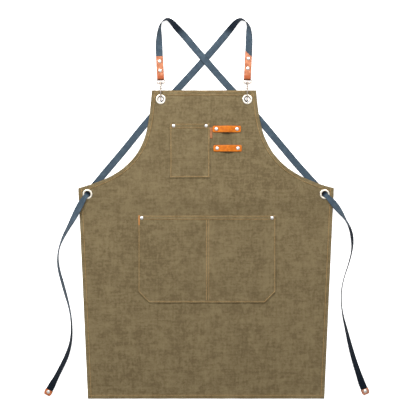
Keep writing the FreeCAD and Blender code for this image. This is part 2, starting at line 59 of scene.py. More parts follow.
view_width = 1.102
camera_height = 3.6
camera_data = bpy.data.cameras.new("camera")
camera_data.sensor_width = 36.0
camera_data.lens = camera_data.sensor_width * camera_height / view_width
camera = in_scene("camera", camera_data)
camera.location = (0.005, 0.047, camera_height)
bpy.context.scene.camera = camera
bpy.context.scene.view_settings.view_transform = "Standard"

# Each light: name, place, side of its panel and power in watts.
for name, place, size, power in (("key_light", (-0.8, 1.4, 1.45), 1.0, 39.0),
                                 ("fill_light", (0.7, 1.45, 1.75), 1.2, 28.0),
                                 ("overhead_panel", (0.0, 0.4, 4.2), 1.9, 10.5)):
    light_data = bpy.data.lights.new(name, "AREA")
    light_data.size = size
    light_data.energy = power
    light = in_scene(name, light_data)
    light.location = place
    light.rotation_euler = (-Vector(place)).to_track_quat("-Z", "Y").to_euler()
world = bpy.data.worlds.new("studio")
bpy.context.scene.world = world
world.use_nodes = True
background = world.node_tree.nodes["Background"]
background.inputs["Color"].default_value = (1.0, 1.0, 1.0, 1.0)
background.inputs["Strength"].default_value = 0.50


def mesh_piece(name, points, faces):
    """A new object at the origin, with its place in its mesh."""
    mesh = bpy.data.meshes.new(name)
    mesh.from_pydata([tuple(point) for point in points], [], faces)
    mesh.update()
    mesh.shade_smooth()
    return in_scene(name, mesh)


def new_material(name, roughness, **constants):
    """A node material with one Principled shader; constants go straight on the shader's sockets."""
    material = bpy.data.materials.new(name)
    material.use_nodes = True
    shader = material.node_tree.nodes["Principled BSDF"]
    shader.inputs["Roughness"].default_value = roughness
    for socket, value in constants.items():
        shader.inputs[socket.replace("_", " ")].default_value = value
    return material, material.node_tree, shader


table_half, table_drop = 4.0, 0.0003
table_corners = ((-1, -1), (1, -1), (1, 1), (-1, 1))
table = mesh_piece("table_top", [(x * table_half, y * table_half, -table_drop) for x, y in table_corners],
                   [(0, 1, 2, 3)])
table_material, _, table_shader = new_material("pale_table", 0.9)
table_shader.inputs["Base Color"].default_value = (0.93, 0.93, 0.93, 1.0)
table_shader.inputs["Emission Color"].default_value = (1.0, 1.0, 1.0, 1.0)
table_shader.inputs["Emission Strength"].default_value = 0.80
table.data.materials.append(table_material)

# ---- Webbing straps ----
# Two flat slate-blue herringbone cotton straps. Each leaves a shoulder tab, stands on edge over the
# shoulder, crosses behind the bib, comes up through the far side eyelet and lies loose on the table.
# Each point is x, y, z in millimetres, the lean in degrees (0 flat, 90 on edge) and, where the strap
# is gathered to pass an eyelet, its share of the full width.
routes = {
    "left": [
        (-121.4, 403, 8.4, 0), (-122.8, 430, 8.4, 0), (-124.1, 455, 8.4, 0), (-124.4, 484, 9.4, 26),
        (-123.4, 508.5, 10.2, 52), (-121.4, 527, 10.2, 78), (-115, 538.6, 10.4, 102),
        (-103, 544.8, 10.5, 120), (-91.2, 537.4, 10.4, 138), (-78.5, 521.5, 9.4, 158),
        (-57.5, 500.5, 6.2, 174), (-30, 467, 3.9, 180), (-3, 436.6, 3.4, 180), (26, 403, 3, 180),
        (62, 363, 1.4, 180), (102, 320, 1.1, 180), (141, 279, 1.1, 180), (175, 238, 1.1, 180),
        (208.5, 198, 1.1, 180), (241, 159, 1.1, 180), (271, 126, 1.1, 180), (292, 103.2, 1.1, 180),
        (303, 92, 1, 180), (309.8, 85, 1, 180, 0.92), (318.2, 76.6, 8, 180, 0.64),
        (325, 69.6, 8.2, 180, 0.72), (335.5, 58.5, 8.3, 176, 0.96), (352.2, 37.5, 9.6, 147),
        (369.5, 13, 10.6, 101), (381, -10, 10.2, 117), (386.6, -37, 10, 121), (386.2, -66, 10.2, 104),
        (376.9, -103, 10.2, 101), (364.6, -137, 10.2, 99), (357.2, -172, 10.2, 100),
        (356.9, -205, 10.2, 99), (360.7, -238, 10.2, 102), (370, -275, 10, 116), (380, -318, 9.3, 130),
        (390.9, -357, 8.4, 139), (401.2, -388, 7.4, 147), (406.7, -404, 6.2, 156), (412, -419, 4.6, 180),
        (416, -428.5, 4.2, 180), (423.2, -445, 4.2, 180)],
    "right": [
        (110.4, 413, 8.4, 0), (111.7, 438, 8.4, 0), (113, 466, 8.4, 0), (113.8, 488, 9, -14),
        (113.2, 510.5, 9.4, -38), (111, 528, 10.2, -70), (103.8, 539, 10.4, -101),
        (91.4, 544.2, 10.5, -121), (80, 536.8, 10.2, -140), (68, 522, 9.2, -160), (48, 498, 5.2, -176),
        (22.5, 468, 1.9, -180), (-5, 436.6, 1.1, -180), (-36, 402, 1.1, -180), (-73, 362, 1.1, -180),
        (-112, 320.5, 1.1, -180), (-151, 279, 1.1, -180), (-184.5, 238, 1.1, -180),
        (-216.5, 198, 1.1, -180), (-247, 162, 1.1, -180), (-275, 129, 1.1, -180),
        (-294.5, 104.8, 1.1, -180), (-304.2, 92.8, 1, -180), (-310, 85.6, 1, -180, 0.92),
        (-318, 76, 8, -180, 0.64), (-323.8, 67.6, 8.2, -180, 0.72), (-331.5, 54.5, 8.3, -176, 0.96),
        (-345.5, 27, 9.6, -156), (-361.5, -3, 10.4, -128), (-376.5, -30, 10.4, -118),
        (-388, -57, 10.2, -101), (-392.6, -87, 10.2, -106), (-389.6, -117, 10.2, -115),
        (-381.2, -147, 10, -120), (-371.8, -181, 10, -119), (-362.2, -215, 10.2, -107),
        (-356.2, -248, 10.2, -106), (-354.6, -282, 10.2, -107), (-357.6, -314, 10, -116),
        (-368, -347, 9.2, -131), (-382.2, -376, 8.6, -134), (-394.6, -400, 8, -136),
        (-403, -416, 6.2, -150), (-408.6, -426, 4.4, -180), (-412.6, -433.4, 4.2, -180),
        (-420, -447, 4.2, -180)]}

webbing_width = 0.0184
webbing_thickness = 0.0016


def spline_points(name, controls, per_run):
    """The points of a smooth spline with these control points."""
    curve = bpy.data.curves.new(name, "CURVE")
    curve.dimensions = "3D"
    curve.resolution_u = per_run
    spline = curve.splines.new("NURBS")
    spline.points.add(len(controls) - 1)
    for point, place in zip(spline.points, controls):
        point.co = (place[0], place[1], place[2], 1.0)
    spline.order_u = 3
    spline.use_endpoint_u = True
    holder = bpy.data.objects.new(name, curve)
    mesh = bpy.data.meshes.new_from_object(holder)
    line = [vertex.co.copy() for vertex in mesh.vertices]
    bpy.data.objects.remove(holder)
    bpy.data.curves.remove(curve)
    bpy.data.meshes.remove(mesh)
    return line


def ring_faces(rings, sides, closed=False, flip=False):
    """Quads between rings of points; closed joins the last ring to the first, flip turns the faces over."""
    faces = []
    for i in range(rings if closed else rings - 1):
        following = (i + 1) % rings
        for j in range(sides):
            k = (j + 1) % sides
            quad = (i * sides + j, i * sides + k, following * sides + k, following * sides + j)
            faces.append((quad[0], quad[3], quad[2], quad[1]) if flip else quad)
    return faces


def band(name, stations, thickness, edge=0.45):
    """A closed band with soft edges. A station is centre, across, through, half width and curl.

    The UV map is in metres: U across the band from its middle, V along it.
    """
    columns = (-1.0, -0.9, -0.6, -0.2, 0.2, 0.6, 0.9, 1.0)
    points, uvs = [], []
    run = 0.0
    count = len(columns)
    ring = 2 * count
    for i, (centre, across, through, half, curl) in enumerate(stations):
        if i:
            run += (centre - stations[i - 1][0]).length
        rows = [(column, 1) for column in columns] + [(column, -1) for column in reversed(columns)]
        for column, face in rows:
            height = thickness / 2 * (edge if abs(column) == 1.0 else 1.0)
            points.append(centre + across * (column * half) + through * (face * height + curl * column ** 2))
            uvs.append((column * half, run))
    faces = ring_faces(len(stations), ring)
    for start, flip in ((0, False), ((len(stations) - 1) * ring, True)):
        for j in range(count - 1):
            quad = (start + j, start + ring - 1 - j, start + ring - 2 - j, start + j + 1)
            faces.append(tuple(reversed(quad)) if flip else quad)
    piece = mesh_piece(name, points, faces)
    layer = piece.data.uv_layers.new(name="cloth")
    for loop in piece.data.loops:
        layer.data[loop.index].uv = uvs[loop.vertex_index]
    return piece


def link(tree, source, target):
    tree.links.new(source, target)


def feed(tree, socket, value):
    """Give a socket another socket's value, a colour or a number."""
    if isinstance(value, bpy.types.NodeSocket):
        link(tree, value, socket)
    else:
        socket.default_value = (*value, 1.0) if isinstance(value, tuple) else value


def new_node(tree, kind, **inputs):
    """A node with these inputs; an underscore stands for a space in a socket's name."""
    node = tree.nodes.new(kind)
    for socket, value in inputs.items():
        feed(tree, node.inputs[socket.replace("_", " ")], value)
    return node


def math_node(tree, operation, *operands):
    """A Math node; each operand is a socket or a number."""
    node = tree.nodes.new("ShaderNodeMath")
    node.operation = operation
    for socket, value in zip(node.inputs, operands):
        feed(tree, socket, value)
    return node.outputs[0]


def scaled_sum(tree, first, second, weight, own=1.0):
    """The first value times own, plus the second times weight."""
    kept = first if own == 1.0 else math_node(tree, "MULTIPLY", first, own)
    return math_node(tree, "ADD", kept, math_node(tree, "MULTIPLY", second, weight))


def mix_colours(tree, factor, first, second):
    """A colour mix; the colours are sockets or RGB triples."""
    node = tree.nodes.new("ShaderNodeMix")
    node.data_type = "RGBA"
    for socket, value in ((node.inputs["Factor"], factor), (node.inputs[6], first), (node.inputs[7], second)):
        feed(tree, socket, value)
    return node.outputs[2]


def noise_node(tree, coordinates, scale, detail, distortion=0.0, kind="FBM"):
    node = new_node(tree, "ShaderNodeTexNoise", Vector=coordinates, Scale=scale, Detail=detail,
                    Distortion=distortion)
    node.noise_type = kind
    return node.outputs["Fac"]


def band_mask(tree, value, low, high):
    """0 below low, 1 above high, smooth between."""
    node = new_node(tree, "ShaderNodeMapRange", Value=value, From_Min=low, From_Max=high)
    node.interpolation_type = "SMOOTHSTEP"
    return node.outputs["Result"]


def bump(tree, shader, height, distance, strength):
    node = new_node(tree, "ShaderNodeBump", Height=height, Distance=distance, Strength=strength)
    link(tree, node.outputs["Normal"], shader.inputs["Normal"])


def coordinates(tree, kind="Object"):
    return tree.nodes.new("ShaderNodeTexCoord").outputs[kind]


def axis_value(tree, vector, axis):
    node = tree.nodes.new("ShaderNodeSeparateXYZ")
    link(tree, vector, node.inputs[0])
    return node.outputs[axis]


def webbing_material():
    """Herringbone: ribs that slant one way, then the other, in columns across the strap."""
    rib, column = 0.0011, 0.0023
    material, tree, shader = new_material("slate_webbing", 0.85, Specular_IOR_Level=0.25, Sheen_Weight=0.06)
    place = coordinates(tree, "UV")
    zigzag = math_node(tree, "PINGPONG", axis_value(tree, place, "X"), column)
    slant = math_node(tree, "ADD", axis_value(tree, place, "Y"), zigzag)
    wave = math_node(tree, "SINE", math_node(tree, "MULTIPLY", slant, 2 * math.pi / rib))
    ribs = math_node(tree, "MULTIPLY_ADD", wave, 0.5, 0.5)
    worn = noise_node(tree, coordinates(tree), 70.0, 5.0)
    yarn = mix_colours(tree, ribs, (0.030, 0.050, 0.072), (0.058, 0.088, 0.118))
    faded = mix_colours(tree, band_mask(tree, worn, 0.42, 0.78), yarn, (0.066, 0.098, 0.128))
    rim = band_mask(tree, math_node(tree, "ABSOLUTE", axis_value(tree, place, "X")), 0.0070, 0.0090)
    rimmed = mix_colours(tree, rim, faded, (0.026, 0.040, 0.054))
    # Painted shade: a point attribute from the strap darkens the yarn towards near black and takes away its
    # specular where the strap stands on edge, under its arches, past its twist and inside the eyelets.
    depth = tree.nodes.new("ShaderNodeAttribute")
    depth.attribute_name = "painted_shade_depth"
    shaded_yarn = mix_colours(tree, ribs, (0.004, 0.006, 0.010), (0.012, 0.018, 0.027))
    link(tree, mix_colours(tree, depth.outputs["Fac"], rimmed, shaded_yarn), shader.inputs["Base Color"])
    shine = math_node(tree, "MULTIPLY_ADD", depth.outputs["Fac"], -0.25, 0.25)
    link(tree, shine, shader.inputs["Specular IOR Level"])
    fibre = noise_node(tree, coordinates(tree), 2600.0, 2.0)
    bump(tree, shader, scaled_sum(tree, ribs, fibre, 0.5), 0.00035, 0.55)
    return material


def smooth(value, low, high):
    share = min(max((value - low) / (high - low), 0.0), 1.0)
    return share * share * (3 - 2 * share)


def stands_for(piece, node=None, body="apron"):
    """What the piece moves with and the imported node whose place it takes."""
    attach(piece, body)
    if node:
        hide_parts(node)


def heading(line, i):
    """The direction of a line of points at its point i."""
    return (line[min(i + 1, len(line) - 1)] - line[max(i - 1, 0)]).normalized()


slate_webbing = webbing_material()
strap_lines = {}
route_points = {}
strap_samples = 8
gather_curl = 0.004
# Painted shade: from these heights on, each strap is darkened towards its free end.
shaded_below = {"left": 0.010, "right": -0.240}
for side, route in routes.items():
    route_points[side] = [Vector(point[:3]) / 1000 for point in route]
    line = spline_points(side + "_route", route_points[side], strap_samples)
    shares = [point[4] if len(point) > 4 else 1.0 for point in route]
    leans = [(point[3] / 100, share, 0.0) for point, share in zip(route, shares)]
    carried = spline_points(side + "_lean", leans, strap_samples)
    stations = []
    shade_depths = []
    for i, centre in enumerate(line):
        along = heading(line, i)
        flat = Vector((0, 0, 1)).cross(along).normalized()
        up = along.cross(flat).normalized()
        lean = math.radians(carried[i].x * 100)
        share = carried[i].y
        across = flat * math.cos(lean) + up * math.sin(lean)
        through = up * math.cos(lean) - flat * math.sin(lean)
        upward = 1.0 if through.z > 0 else -1.0
        curl = upward * gather_curl * (1 - share)
        stations.append((centre, across, through, webbing_width * share / 2, curl))
        # Painted shade: darker where the strap stands on edge, under the arches over the shoulders, past its
        # twist and where it passes through the eyelets.
        turned = abs(math.degrees(lean))
        arch = smooth(turned, 70, 92) * (1 - smooth(turned, 160, 176)) if centre.y > 0.45 else 0.0
        past_twist = smooth(-centre.y, -shaded_below[side], 0.03 - shaded_below[side])
        in_eyelet = smooth(centre.y, 0.0775, 0.0825) * (1 - smooth(centre.y, 0.100, 0.115))
        shade_depths.append(min(1.0, 0.35 * smooth(abs(across.z), 0.5, 0.95) + arch + past_twist + in_eyelet))
    strap = band(side + "_strap", stations, webbing_thickness)
    shade_layer = strap.data.attributes.new("painted_shade_depth", "FLOAT", "POINT")
    ring = len(strap.data.vertices) // len(stations)
    for i in range(len(strap.data.vertices)):
        shade_layer.data[i].value = shade_depths[i // ring]
    strap.data.materials.append(slate_webbing)
    stands_for(strap, side + "_webbing_strap")
    strap_lines[side] = line

# ---- Apron panel ----
# One sheet of olive-khaki waxed canvas, 676 mm wide at the side corners. It lies on the table, with the
# bib lifted a little by the straps behind it and the top hem by the hooks' back legs.
panel_low, panel_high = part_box("apron_panel")
hem_y, top_y = panel_low[1], panel_high[1]
corner_half = panel_high[0]
corner_y = hem_y + 0.5568
hem_half = 0.3124
top_half = 0.1375
bib_shift = -0.0056
cloth = 0.0012
armhole_top_pull, armhole_side_pull = 0.108, 0.192
armhole_top_slope, armhole_side_turn = 0.09, (0.97, 0.24)
eyelet_hole, eyelet_flange = 0.008, 0.013
eyelets = {}
for place in ("left_top", "right_top", "left_side", "right_side"):
    low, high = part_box(place + "_eyelet")
    eyelets[place] = Vector(((low[0] + high[0]) / 2, (low[1] + high[1]) / 2, high[2]))


def under(y):
    """Height of the panel's underside: flat skirt, bib on the straps, top hem on the hooks."""
    return 0.004 * smooth(y, 0.024, 0.070) + 0.002 * smooth(y, 0.270, 0.318)


def ripple(x, y):
    """Soft unevenness of the cloth, more towards the hem."""
    broad = noise.noise(Vector((x * 7.0, y * 3.2, 1.7))) + 0.5 * noise.noise(Vector((x * 17.0, y * 7.0, 5.1)))
    fine = noise.noise(Vector((x * 46.0, y * 38.0, 9.3)))
    skirt = 1.0 - smooth(y, -0.26, -0.18)
    run, drop = (x + 0.020) / 0.100, y - (0.3365 - 0.138 * (x + 0.020))
    fold = 0.0007 * math.exp(-(drop / 0.0026) ** 2) * smooth(run, 0.0, 0.2) * (1 - smooth(run, 0.7, 1.0))
    calm = 1 - smooth(y, 0.0, 0.06) * 0.2
    return fold + (0.0013 + broad * 0.0013) * skirt + (0.00025 + 0.00022 * fine) * calm


def panel_top(x, y):
    return under(y) + cloth + max(ripple(x, y), 0.0)


def armhole_point(side, t):
    top = Vector((bib_shift + side * top_half, top_y))
    corner = Vector((side * corner_half, corner_y))
    first = top + Vector((side * armhole_top_slope * armhole_top_pull, -armhole_top_pull))
    second = corner + Vector((-side * armhole_side_turn[0], armhole_side_turn[1])) * armhole_side_pull
    return (top * (1 - t) ** 3 + first * (3 * t * (1 - t) ** 2)
            + second * (3 * t * t * (1 - t)) + corner * t ** 3)


def edge_lines():
    """The panel's outline as six lines, each with its inward side on the left."""
    right = [armhole_point(1, i / 70) for i in range(71)]
    left = [armhole_point(-1, i / 70) for i in range(71)]
    hem_left, hem_right = Vector((-hem_half, hem_y)), Vector((hem_half, hem_y))

    def straight(start, end, count):
        return [start.lerp(end, i / count) for i in range(count + 1)]

    return {"hem": straight(hem_left, hem_right, 160), "right_side": straight(hem_right, right[-1], 140),
            "right_armhole": right[::-1], "top": straight(right[0], left[0], 70), "left_armhole": left,
            "left_side": straight(left[-1], hem_left, 140)}


def panel_rows():
    """Each row is y with the panel's left and right ends there."""
    rows = []
    skirt_rows = 130
    for i in range(skirt_rows):
        share = i / skirt_rows
        half = hem_half + (corner_half - hem_half) * share
        rows.append((hem_y + (corner_y - hem_y) * share, -half, half))
    for i in range(84, -1, -1):
        left, right = armhole_point(-1, i / 84), armhole_point(1, i / 84)
        rows.append((left.y, left.x, right.x))
    return rows


def sheet_grid(rows, columns, height):
    """A sheet between each row's ends; height gives z at x, y."""
    points, faces = [], []
    for y, left, right in rows:
        for i in range(columns + 1):
            x = left + (right - left) * i / columns
            points.append(Vector((x, y, height(x, y))))
    for j in range(len(rows) - 1):
        for i in range(columns):
            first = j * (columns + 1) + i
            faces.append((first, first + 1, first + columns + 2, first + columns + 1))
    return points, faces


hole_cut = 0.0102
panel_points, panel_faces = sheet_grid(panel_rows(), 176, lambda x, y: panel_top(x, y) - cloth / 2)
kept = []
for face in panel_faces:
    middle = sum((panel_points[i] for i in face), Vector()) / 4
    if all((middle.xy - place.xy).length > hole_cut for place in eyelets.values()):
        kept.append(face)
uses = {}
for face in kept:
    for a, b in zip(face, face[1:] + face[:1]):
        key = (min(a, b), max(a, b))
        uses[key] = uses.get(key, 0) + 1
for (a, b), count in uses.items():
    if count > 1:
        continue
    for i in (a, b):
        for place in eyelets.values():
            offset = panel_points[i].xy - place.xy
            if offset.length < 2 * hole_cut:
                offset = offset.normalized() * hole_cut
                panel_points[i].x, panel_points[i].y = place.x + offset.x, place.y + offset.y
used = sorted({i for face in kept for i in face})
renumbered = {old: new for new, old in enumerate(used)}


def cloth_piece(name, points, faces):
    """A sheet of cloth; its mesh is the middle of its thickness."""
    piece = mesh_piece(name, points, faces)
    thicken = piece.modifiers.new("cloth", "SOLIDIFY")
    thicken.thickness = cloth
    thicken.offset = 0.0
    return piece


panel = cloth_piece("panel_cloth", [panel_points[i] for i in used],
                    [tuple(renumbered[i] for i in face) for face in kept])


def shader_group(name, outputs):
    """An empty group with a Vector input and float outputs, its vector and its output node."""
    group = bpy.data.node_groups.new(name, "ShaderNodeTree")
    group.interface.new_socket("Vector", in_out="INPUT", socket_type="NodeSocketVector")
    for output in outputs:
        group.interface.new_socket(output, in_out="OUTPUT", socket_type="NodeSocketFloat")
    enter = group.nodes.new("NodeGroupInput")
    return group, enter.outputs["Vector"], group.nodes.new("NodeGroupOutput")


def group_outputs(tree, group):
    """The outputs of a shader group used in a material, fed with the piece's own coordinates."""
    node = tree.nodes.new("ShaderNodeGroup")
    node.node_tree = group
    link(tree, coordinates(tree), node.inputs["Vector"])
    return node.outputs


def canvas_group():
    """Mottle, crease and weave masks of waxed canvas, from the cloth's own coordinates."""
    group, place, leave = shader_group("waxed_canvas", ("Mottle", "Crease", "Weave"))
    blend = math_node(group, "MULTIPLY", noise_node(group, place, 9.0, 6.0, 0.8), 0.22)
    for scale, weight in ((34.0, 0.34), (150.0, 0.44)):
        blend = scaled_sum(group, blend, noise_node(group, place, scale, 6.0, 0.6), weight)
    for stretch in ((1.0, 0.16, 1.0), (0.16, 1.0, 1.0)):
        drawn = group.nodes.new("ShaderNodeVectorMath")
        drawn.operation = "MULTIPLY"
        drawn.inputs[1].default_value = stretch
        link(group, place, drawn.inputs[0])
        streak = noise_node(group, drawn.outputs["Vector"], 170.0, 5.0, 0.3)
        blend = scaled_sum(group, blend, streak, 0.20, 0.80)
    link(group, band_mask(group, blend, 0.41, 0.59), leave.inputs["Mottle"])
    folds = noise_node(group, place, 13.0, 9.0, 0.8, "RIDGED_MULTIFRACTAL")
    crackle = noise_node(group, place, 46.0, 6.0, 1.6, "RIDGED_MULTIFRACTAL")
    creased = scaled_sum(group, band_mask(group, folds, 0.75, 1.20),
                         band_mask(group, crackle, 0.80, 1.25), 0.6)
    link(group, creased, leave.inputs["Crease"])
    thread = 0.00075
    warp, weft = (math_node(group, "SINE", math_node(group, "MULTIPLY", axis_value(group, place, axis),
                                                     2 * math.pi / thread)) for axis in "XY")
    link(group, math_node(group, "MULTIPLY", warp, weft), leave.inputs["Weave"])
    return group


waxed_canvas = canvas_group()


def canvas_material(name, dark, middle, light):
    material, tree, shader = new_material(name, 0.72, Specular_IOR_Level=0.22)
    shared = group_outputs(tree, waxed_canvas)
    base = mix_colours(tree, shared["Mottle"], dark, middle)
    creased = mix_colours(tree, math_node(tree, "MULTIPLY", shared["Crease"], 0.50), base, light)
    link(tree, creased, shader.inputs["Base Color"])
    shine = math_node(tree, "MULTIPLY_ADD", shared["Mottle"], -0.16, 0.80)
    link(tree, shine, shader.inputs["Roughness"])
    bump(tree, shader, scaled_sum(tree, shared["Crease"], shared["Weave"], 0.35), 0.0006, 0.6)
    return material


canvas = canvas_material("olive_canvas", (0.124, 0.090, 0.042), (0.194, 0.147, 0.072), (0.290, 0.230, 0.130))
hem_canvas = canvas_material("hem_canvas", (0.135, 0.097, 0.043), (0.200, 0.152, 0.075),
                             (0.310, 0.248, 0.140))
panel.data.materials.append(canvas)
stands_for(panel, "apron_panel")

# ---- Hems ----
# The cloth's edge is turned under twice and sewn all round, which leaves a thicker, slightly puckered
# band. The top edge has a deeper hem with two rows of stitches.
top_hem_width, plain_hem_width = 0.0150, 0.0108
hem_raise = 0.0007


def hem_band(name, line, width, level, seed, raised=hem_raise):
    """A band just inside a line of x, y points, wrapped round the cloth's edge."""
    thickness = cloth + raised
    overlap = 0.0005
    stations = []
    for i, point in enumerate(line):
        along = heading(line, i)
        inward = Vector((-along.y, along.x))
        pucker = noise.noise(Vector((point.x * 105.0, point.y * 105.0, seed)))
        wobble = noise.noise(Vector((point.x * 40.0, point.y * 40.0, seed + 4.0)))
        half = width / 2 + 0.00035 * wobble
        middle = point + inward * (width / 2 - overlap)
        top = level(middle.x, middle.y) + raised + 0.0002 * pucker
        stations.append((Vector((middle.x, middle.y, top - thickness / 2)), Vector((inward.x, inward.y, 0)),
                         Vector((0, 0, 1)), half, 0.0))
    return band(name, stations, thickness, edge=0.55)


outline = edge_lines()
for number, (name, line) in enumerate(outline.items()):
    width = top_hem_width if name == "top" else plain_hem_width
    hem = hem_band(name + "_hem", line, width, panel_top, 20.0 + number)
    hem.data.materials.append(hem_canvas)
    stands_for(hem)

# ---- Pockets ----
# Patches of the same canvas, turned in all round and sewn down on three sides, so that the mouth stands
# a little open. The waist pocket has cut-off lower corners and a seam that makes two compartments.
seam_flat, full_gape = 0.009, 0.055
pocket_gape = 0.0042
waist_seam_x = 0.004
# Corner cut, seams, mesh rows and columns, depth of the mouth hem, stitch rows below the mouth.
pocket_plans = {"chest_pocket": (0.0, [], (56, 48), 0.0135, (0.0022, 0.0118)),
                "waist_pocket": (0.029, [waist_seam_x], (90, 120), 0.0115, (0.0016, 0.0096))}


def pocket_height(x, y, low, high, seams):
    """Height over the panel: down at the sewn edges, open at the mouth."""
    edges = [low[0]] + seams + [high[0]]
    rise = 0.0
    for left, right in zip(edges[:-1], edges[1:]):
        if left <= x <= right:
            across = (smooth(x, left + seam_flat, left + full_gape)
                      * smooth(-x, -right + seam_flat, -right + full_gape))
            up = (y - low[1]) / (high[1] - low[1])
            rise = across * (0.35 * smooth(up, 0.0, 0.3) + 0.65 * up ** 3)
    crumple = 0.0005 * noise.noise(Vector((x * 30.0, y * 30.0, 3.0)))
    return pocket_gape * rise + crumple * smooth(rise, 0.0, 0.3)


def pocket_rows(low, high, chamfer, count):
    rows = []
    for i in range(count + 1):
        y = low[1] + (high[1] - low[1]) * i / count
        inset = max(0.0, chamfer - (y - low[1]))
        rows.append((y, low[0] + inset, high[0] - inset))
    return rows


def pocket_lines(low, high, chamfer):
    """The pocket's mouth and its sewn edge, each with its inward side on the left."""
    corners = [Vector((low[0], high[1])), Vector((low[0], low[1] + chamfer)),
               Vector((low[0] + chamfer, low[1])), Vector((high[0] - chamfer, low[1])),
               Vector((high[0], low[1] + chamfer)), Vector((high[0], high[1]))]
    sewn = []
    for start, end in zip(corners[:-1], corners[1:]):
        steps = max(int((end - start).length / 0.004), 1)
        if (end - start).length > 0.001:
            sewn += [start.lerp(end, i / steps) for i in range(steps)]
    sewn.append(corners[-1])
    mouth = [corners[-1].lerp(corners[0], i / 60) for i in range(61)]
    return mouth, sewn


pockets = {}
for name, (chamfer, seams, (rows, columns), mouth_depth, _) in pocket_plans.items():
    low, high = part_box(name)

    def level(x, y, low=low, high=high, seams=seams):
        return panel_top(x, y) + cloth + 0.0003 + pocket_height(x, y, low, high, seams)

    points, faces = sheet_grid(pocket_rows(low, high, chamfer, rows), columns,
                               lambda x, y, level=level: level(x, y) - cloth / 2)
    pocket = cloth_piece(name + "_cloth", points, faces)
    pocket.data.materials.append(canvas)
    stands_for(pocket, name)
    mouth, sewn = pocket_lines(low, high, chamfer)
    trims = [hem_band(name + "_mouth_hem", mouth, mouth_depth, level, 31.0, 0.0006),
             hem_band(name + "_sewn_edge", sewn, 0.0060, level, 37.0, 0.0007)]
    for trim in trims:
        trim.data.materials.append(hem_canvas)
        stands_for(trim)
    pockets[name] = {"cloth": pocket, "trims": trims, "level": level, "low": low, "high": high,
                     "mouth": mouth, "sewn": sewn}

# ---- Stitches ----
# Ochre thread, one small stitch after another along each hem and pocket seam. A bar of close orange
# stitches holds the waist pocket's corner.


def two_tone(name, roughness, scale, detail, dark, light, **constants):
    """A material of one colour and its faint darker patches."""
    material, tree, shader = new_material(name, roughness, **constants)
    tone = noise_node(tree, coordinates(tree), scale, detail)
    link(tree, mix_colours(tree, tone, dark, light), shader.inputs["Base Color"])
    return material


ochre_thread = two_tone("ochre_thread", 0.55, 90.0, 4.0, (0.360, 0.190, 0.055), (0.520, 0.320, 0.120))
orange_thread = two_tone("orange_thread", 0.5, 300.0, 4.0, (0.480, 0.170, 0.030), (0.720, 0.290, 0.060))


def repeat_group(name, material, along_curve):
    """Geometry Nodes that put one shape at even steps along curves, or at each point of a mesh."""
    group = bpy.data.node_groups.new(name, "GeometryNodeTree")
    group.interface.new_socket("Geometry", in_out="INPUT", socket_type="NodeSocketGeometry")
    group.interface.new_socket("Step", in_out="INPUT", socket_type="NodeSocketFloat")
    group.interface.new_socket("Shape", in_out="INPUT", socket_type="NodeSocketObject")
    group.interface.new_socket("Geometry", in_out="OUTPUT", socket_type="NodeSocketGeometry")
    enter = group.nodes.new("NodeGroupInput")
    leave = group.nodes.new("NodeGroupOutput")
    shape = new_node(group, "GeometryNodeObjectInfo", Object=enter.outputs["Shape"])
    place = new_node(group, "GeometryNodeInstanceOnPoints", Instance=shape.outputs["Geometry"])
    if along_curve:
        curve = new_node(group, "GeometryNodeMeshToCurve", Mesh=enter.outputs["Geometry"])
        steps = new_node(group, "GeometryNodeCurveToPoints", Curve=curve.outputs["Curve"])
        steps.mode = "LENGTH"
        link(group, enter.outputs["Step"], steps.inputs["Length"])
        link(group, steps.outputs["Points"], place.inputs["Points"])
        link(group, steps.outputs["Rotation"], place.inputs["Rotation"])
    else:
        link(group, enter.outputs["Geometry"], place.inputs["Points"])
    realize = new_node(group, "GeometryNodeRealizeInstances", Geometry=place.outputs["Instances"])
    paint = new_node(group, "GeometryNodeSetMaterial", Geometry=realize.outputs["Geometry"],
                     Material=material)
    link(group, paint.outputs["Geometry"], leave.inputs["Geometry"])
    return group


def repeat(name, carrier, group, shape, step=0.0):
    """Run the tree on a carrier mesh and keep the result as a plain mesh."""
    modifier = carrier.modifiers.new("repeat", "NODES")
    modifier.node_group = group
    sockets = {item.name: item.identifier for item in group.interface.items_tree if item.in_out == "INPUT"}
    modifier[sockets["Step"]] = step
    modifier[sockets["Shape"]] = shape
    ready = carrier.evaluated_get(bpy.context.evaluated_depsgraph_get())
    mesh = bpy.data.meshes.new_from_object(ready)
    mesh.name = name
    mesh.shade_smooth()
    bpy.data.objects.remove(carrier)
    return in_scene(name, mesh)


def stitch_shape(name, length, radius):
    """One stitch along Z: a thread that dips into the cloth at both ends."""
    rings, sides = 5, 6
    points = []
    for i in range(rings):
        share = i / (rings - 1) * 2 - 1
        thick = radius * (0.45 + 0.55 * math.sqrt(max(1 - share * share, 0.0)))
        for j in range(sides):
            turn = 2 * math.pi * j / sides
            points.append((thick * math.cos(turn), thick * math.sin(turn), share * length / 2))
    faces = ring_faces(rings, sides)
    faces.append(tuple(reversed(range(sides))))
    faces.append(tuple(range((rings - 1) * sides, rings * sides)))
    shape = mesh_piece(name, points, faces)
    shape.hide_render = True
    return shape


def line_carrier(name, lines):
    points, edges = [], []
    for line in lines:
        edges += [(len(points) + i, len(points) + i + 1) for i in range(len(line) - 1)]
        points += line
    mesh = bpy.data.meshes.new(name)
    mesh.from_pydata([tuple(point) for point in points], edges, [])
    return in_scene(name, mesh)


def row_inside(line, inset, level, raised, trim):
    """A line of stitches at a distance inside an edge, on top of the cloth there."""
    row = []
    for i, point in enumerate(line):
        along = heading(line, i)
        place = point + Vector((-along.y, along.x)) * inset
        row.append(Vector((place.x, place.y, level(place.x, place.y) + raised)))
    ends = (line[0], line[-1])
    return [point for point in row if all((point.xy - end).length > trim for end in ends)]


